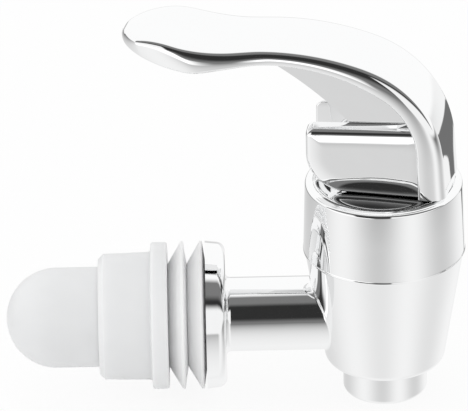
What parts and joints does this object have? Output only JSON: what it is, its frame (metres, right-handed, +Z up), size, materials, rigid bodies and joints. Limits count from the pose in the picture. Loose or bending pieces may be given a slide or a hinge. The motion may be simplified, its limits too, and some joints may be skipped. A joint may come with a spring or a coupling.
{
  "type": "beverage dispenser spigot",
  "caption": "Plated push-lever spigot for a drinks dispenser: tapered barrel, spoon-ended swivel lever, wall flange, soft washers, lock nut and thread cap.",
  "frame": {"origin": "centre of the wall flange's rear face, on the shank's axis", "axes": "+X out of the tank wall along the shank towards the barrel, +Z up, +Y to the left when facing the wall from the front is -Y; the barrel axis stands at X = 38.7 mm, and the lever is folded back over the shank, turned 12.5 degrees"},
  "size_m": [0.0994, 0.038, 0.0843],
  "materials": {
    "chrome_plate": "bright chrome plate on moulded plastic",
    "clear_silicone": "soft translucent silicone, satin",
    "milky_plastic": "translucent white moulded plastic, satin",
    "seat_silicone": "white silicone, satin",
    "stem_plastic": "white moulded plastic",
    "bare_steel": "drawn stainless steel"
  },
  "bodies": {
    "tap_body": {"valve_body": "chrome_plate", "bonnet": "chrome_plate", "front_seal_washer": "clear_silicone", "rear_seal_washer": "clear_silicone", "lock_nut": "milky_plastic"},
    "thread_cap": {"shank_cap": "milky_plastic"},
    "swivel": {"spring_washer": "bare_steel", "spring": "bare_steel"},
    "plunger": {"stem": "stem_plastic", "cross_pin": "bare_steel", "seat_cup": "seat_silicone"},
    "handle": {"lever": "chrome_plate"}
  },
  "joints": [
    {"name": "cap_pull", "type": "slide", "parent": "tap_body", "child": "thread_cap", "axis": [-1, 0, 0], "range_m": [0, 0.012]},
    {"name": "lever_swivel", "type": "hinge", "parent": "tap_body", "child": "swivel", "pos_m": [0.0387, 0, 0], "axis": [0, 0, 1], "continuous": true},
    {"name": "stem_lift", "type": "slide", "parent": "swivel", "child": "plunger", "axis": [0, 0, 1], "range_m": [0, 0.00268], "stiffness_N_per_m": 600, "springref_m": -0.008, "deforming": ["spring", "seat_cup"]},
    {"name": "lever_press", "type": "hinge", "parent": "plunger", "child": "handle", "pos_m": [0.0387, 0, 0.0377], "axis": [-0.2164, -0.9763, 0], "range_deg": [0, 20]}
  ],
  "couplings": [
    {"joint": "lever_press", "follows": "stem_lift", "rad_per_m": 129.87}
  ]
}
